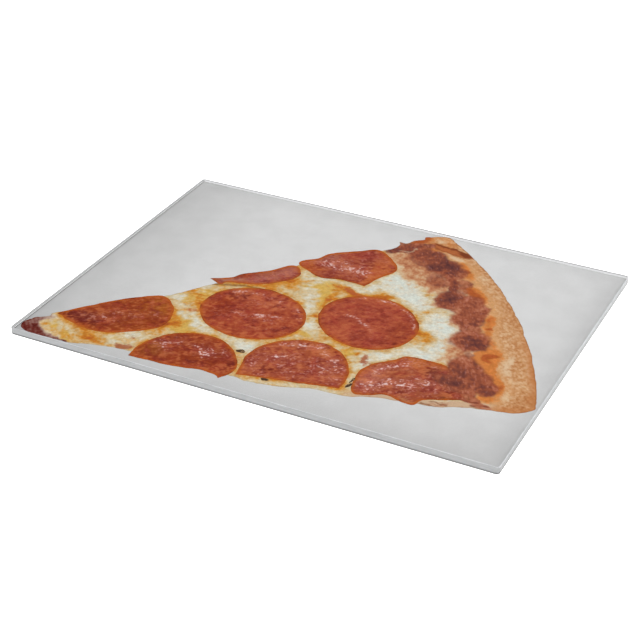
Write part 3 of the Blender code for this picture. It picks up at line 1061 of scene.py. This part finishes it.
def edge_material(name, colour, darkest, crown, foot, painted_glow):
    """Ground glass, streaked along the edge, painted darker as shade at its crown or foot, and glowing
    as painted light.
    """
    surface = Surface(name)
    flat = surface.add("Mapping", {"Vector": surface.place, "Scale": (1.0, 1.0, 8.0)}).outputs[0]
    streaks = surface.add("TexNoise", {"Vector": flat, "Scale": 160.0, "Detail": 3.0}).outputs[0]
    tone = surface.span(streaks, 0.35, 0.65, darkest, 1.0)
    height = surface.add("SeparateXYZ", {0: surface.place}).outputs[2]
    # Painted shade, darker towards the foot of the edge
    low = surface.span(height, EDGE_FOOT_SHADE[0] * MM, EDGE_FOOT_SHADE[1] * MM, foot, 1.0)
    # Painted shade, a broken dark line along the crown of the edge
    broken = surface.span(streaks, 0.42, 0.60, crown, min(1.0, crown + 0.2))
    at_crown = surface.span(height, EDGE_CROWN_SHADE[0] * MM, EDGE_CROWN_SHADE[1] * MM, 0.0, 1.0)
    darker = surface.product(surface.calculate("SUBTRACT", 1.0, broken), at_crown)
    factor = surface.product(tone, surface.calculate("SUBTRACT", 1.0, darker), low)
    surface.sets(Base_Color=surface.dimmed(shown(colour), factor), Roughness=0.3)
    surface.sets(Specular_IOR_Level=0.15)
    # Painted light, an emission that lights the edge though it is no lamp
    if painted_glow:
        surface.sets(Emission_Color=surface.dimmed(WHITE, factor), Emission_Strength=painted_glow)
    return surface.material


def new_object(name, data):
    made = bpy.data.objects.new(name, data)
    bpy.context.scene.collection.objects.link(made)
    return made


def new_piece(name, mesh, material):
    """A piece of the board, which has one body, root."""
    piece = new_object(name, mesh)
    mesh.materials.append(material)
    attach(piece, "root")
    return piece


def plate_mesh(name, low, high, corner):
    """A flat plate that fills a box, with its four upright edges rounded."""
    shape = bmesh.new()
    bmesh.ops.create_cube(shape, size=1.0)
    size = [top - bottom for bottom, top in zip(low, high)]
    bmesh.ops.scale(shape, vec=size, verts=shape.verts)
    middle = [0.5 * (bottom + top) for bottom, top in zip(low, high)]
    bmesh.ops.translate(shape, vec=middle, verts=shape.verts)
    upright = [edge for edge in shape.edges if edge.verts[0].co.z != edge.verts[1].co.z]
    round_off(shape, upright, corner * MM, CORNER_STEPS)
    return mesh_from(shape, name)


def round_off(shape, edges, offset, steps):
    bmesh.ops.bevel(shape, geom=edges, offset=offset, segments=steps, profile=0.5, affect="EDGES")


def with_heights(box, low, high):
    """A CAD box with other heights, in millimetres."""
    return (*box[0][:2], low * MM), (*box[1][:2], high * MM)


def make_glass():
    low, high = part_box("glass_panel")
    mesh = plate_mesh("glass", (*low[:2], GLASS_LOW * MM), high, GLASS_CORNER)
    piece = new_piece("glass", mesh, glass_material())
    for row in EDGE_LOOKS:
        mesh.materials.append(edge_material(*row))
    grind_edges(mesh)
    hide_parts("glass_panel")


def grind_edges(mesh):
    """Cuts the arris along both rims, and gives each face of the edge its look."""
    shape = bmesh.new()
    shape.from_mesh(mesh)
    rims = {edge for face in shape.faces if abs(face.normal.z) > 0.9 for edge in face.edges}
    round_off(shape, list(rims), GLASS_ARRIS * MM, ARRIS_STEPS)
    looks = ["clear"] + [row[0] for row in EDGE_LOOKS]
    for face in shape.faces:
        face.material_index = looks.index(edge_look(face.normal))
    shape.to_mesh(mesh)
    shape.free()
    mesh.set_sharp_from_angle(angle=math.radians(15))


def edge_look(normal):
    """The look of a face of the glass: clear on the flat faces, or one of EDGE_LOOKS."""
    if abs(normal.z) > 0.99:
        return "clear"
    if normal.y < -0.5:
        side = "front"
    elif normal.x > 0.5 * normal.y + 0.1:
        side = "right"
    else:
        side = "left" if normal.x < -0.5 else "far"
    # A painted highlight on the upper arris at the front and the right; painted shade on the lower arris
    # except at the far side
    if normal.z > 0.1 and side in ("front", "right"):
        return f"arris_{side}"
    if normal.z < -0.1 and side != "far":
        return "foot"
    return f"edge_{side}"


def make_print():
    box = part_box("print_layer")
    mesh = plate_mesh("print_ground", *with_heights(box, BACKING_HIGH, GROUND_HIGH), PRINT_CORNER)
    map_from_above(mesh)
    ground = new_piece("print_ground", mesh, ground_material(box))
    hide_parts("print_layer")
    mesh = plate_mesh("print_backing", *with_heights(box, BACKING_LOW, BACKING_HIGH), PRINT_CORNER)
    new_piece("print_backing", mesh, backing_material())


def make_picture():
    meat_outlines = {number: pepperoni_outline(number) for number in MEAT}
    outline = slice_outline()
    mesh = sheet_mesh("print_slice", outline, SLICE_STEP, GROUND_HIGH, SLICE_HIGH)
    paint_slice(mesh, outline, list(meat_outlines.values()))
    new_piece("print_slice", mesh, ink_material("food_ink", 0.05))
    meat_ink = ink_material("meat_ink", 0.07)
    for number, outline in meat_outlines.items():
        name = f"print_pepperoni_{number}"
        mesh = sheet_mesh(name, outline, TOPPING_STEP, SLICE_HIGH, TOPPING_HIGH)
        paint_pepperoni(mesh, outline, number)
        new_piece(name, mesh, meat_ink)
    herb_ink = ink_material("herb_ink", 0.2)
    for number, oval in enumerate(HERBS, start=1):
        name = f"print_herb_{number}"
        outline = oval_outline(*oval, steps=24)
        outline = uneven(outline, amount=0.4, size=1.5, seed=300 + number)
        mesh = sheet_mesh(name, spaced(outline, 0.3), HERB_STEP, TOPPING_HIGH, SPECK_HIGH)
        herb = Painting(mesh, HERB)
        herb.paint(HERB_LIGHT, smoothstep(0.2, 1.0, herb.clouds(0.9, 310 + number)))
        herb.finish()
        new_piece(name, mesh, herb_ink)


def foot_mesh(name, low, high):
    """A domed bumper on a thin adhesive disc, turned from its half section."""
    shape = bmesh.new()
    profile = foot_profile(0.5 * (high[0] - low[0]), BACKING_LOW * MM - low[2])
    verts = [shape.verts.new((reach, 0.0, rise)) for reach, rise in profile]
    edges = [shape.edges.new(pair) for pair in zip(verts, verts[1:])]
    bmesh.ops.spin(
        shape, geom=verts + edges, cent=(0, 0, 0), axis=(0, 0, 1), angle=math.tau, steps=FOOT_STEPS,
        use_merge=True, use_duplicate=False,
    )
    bmesh.ops.remove_doubles(shape, verts=shape.verts, dist=0.01 * MM)
    bmesh.ops.recalc_face_normals(shape, faces=shape.faces)
    middle = (0.5 * (low[0] + high[0]), 0.5 * (low[1] + high[1]), low[2])
    bmesh.ops.translate(shape, vec=middle, verts=shape.verts)
    mesh = mesh_from(shape, name)
    mesh.shade_smooth()
    mesh.set_sharp_from_angle(angle=math.radians(35))
    return mesh


def make_feet():
    rubber = rubber_material()
    for node in ("foot_1", "foot_2", "foot_3", "foot_4"):
        piece = new_piece(f"rubber_{node}", foot_mesh(node, *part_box(node)), rubber)
        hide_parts(node)


def foot_profile(radius, height):
    """The half section from the middle of the top, round the side, to the middle of the sole."""
    disc = DISC_SHARE * height
    waist = radius - FOOT_OVERHANG * MM
    edge = FOOT_ROUNDING * MM
    points = [(0.0, height), (radius, height), (radius, height - disc), (waist, height - 1.4 * disc)]
    for angle in np.linspace(0.0, 0.5 * math.pi, FOOT_EDGE_STEPS + 1):
        points.append((waist - edge * (1 - math.cos(angle)), edge * (1 - math.sin(angle))))
    points.append((0.0, 0.0))
    return points


# Stage
FLOOR_SIZE = 40.0
FLOOR_GREY = (0.9, 0.9, 0.9, 1.0)
FLOOR_GLOW = 0.85
ROOM_GREY = (0.1, 0.1, 0.1, 1.0)
SOFTBOX = {"size": 2.4, "power": 42.4, "place": (0.0, 0.0, 1.6)}
FILL = {"size": 0.8, "power": 3.0, "place": (1.5, -0.5, 0.9)}


def make_floor():
    bpy.ops.mesh.primitive_plane_add(size=FLOOR_SIZE)
    floor = bpy.context.object
    floor.name = "floor"
    surface = Surface("pale_floor")
    surface.sets(Base_Color=FLOOR_GREY, Roughness=0.9, Specular_IOR_Level=0.0)
    surface.sets(Emission_Color=WHITE, Emission_Strength=FLOOR_GLOW)
    floor.data.materials.append(surface.material)


def make_light(name, size, power, place):
    """A square soft light aimed at the board."""
    data = bpy.data.lights.new(name, "AREA")
    data.shape = "SQUARE"
    data.size = size
    data.energy = power
    light = new_object(name, data)
    light.location = place
    light.rotation_euler = (-Vector(place)).to_track_quat("-Z", "Y").to_euler()


def make_world():
    """Dim grey all round, seen directly as plain white."""
    world = bpy.data.worlds.new("studio")
    world.use_nodes = True
    nodes, links = world.node_tree.nodes, world.node_tree.links
    room = nodes["Background"]
    room.inputs["Color"].default_value = ROOM_GREY
    seen = nodes.new("ShaderNodeBackground")
    seen.inputs["Color"].default_value = WHITE
    path = nodes.new("ShaderNodeLightPath")
    choice = nodes.new("ShaderNodeMixShader")
    links.new(path.outputs["Is Camera Ray"], choice.inputs[0])
    links.new(room.outputs[0], choice.inputs[1])
    links.new(seen.outputs[0], choice.inputs[2])
    links.new(choice.outputs[0], nodes["World Output"].inputs["Surface"])
    bpy.context.scene.world = world


def make_camera():
    data = bpy.data.cameras.new("camera")
    data.lens = CAMERA_LENS
    data.sensor_width = SENSOR_WIDTH
    camera = new_object("camera", data)
    camera.location = CAMERA_PLACE
    camera.rotation_euler = (math.radians(CAMERA_TILT), 0.0, math.radians(CAMERA_TURN))
    bpy.context.scene.camera = camera


def make_stage():
    make_camera()
    make_world()
    make_floor()
    make_light("softbox", **SOFTBOX)
    make_light("fill", **FILL)
    bpy.context.scene.view_settings.view_transform = "Standard"


make_stage()
make_glass()
make_print()
make_picture()
make_feet()
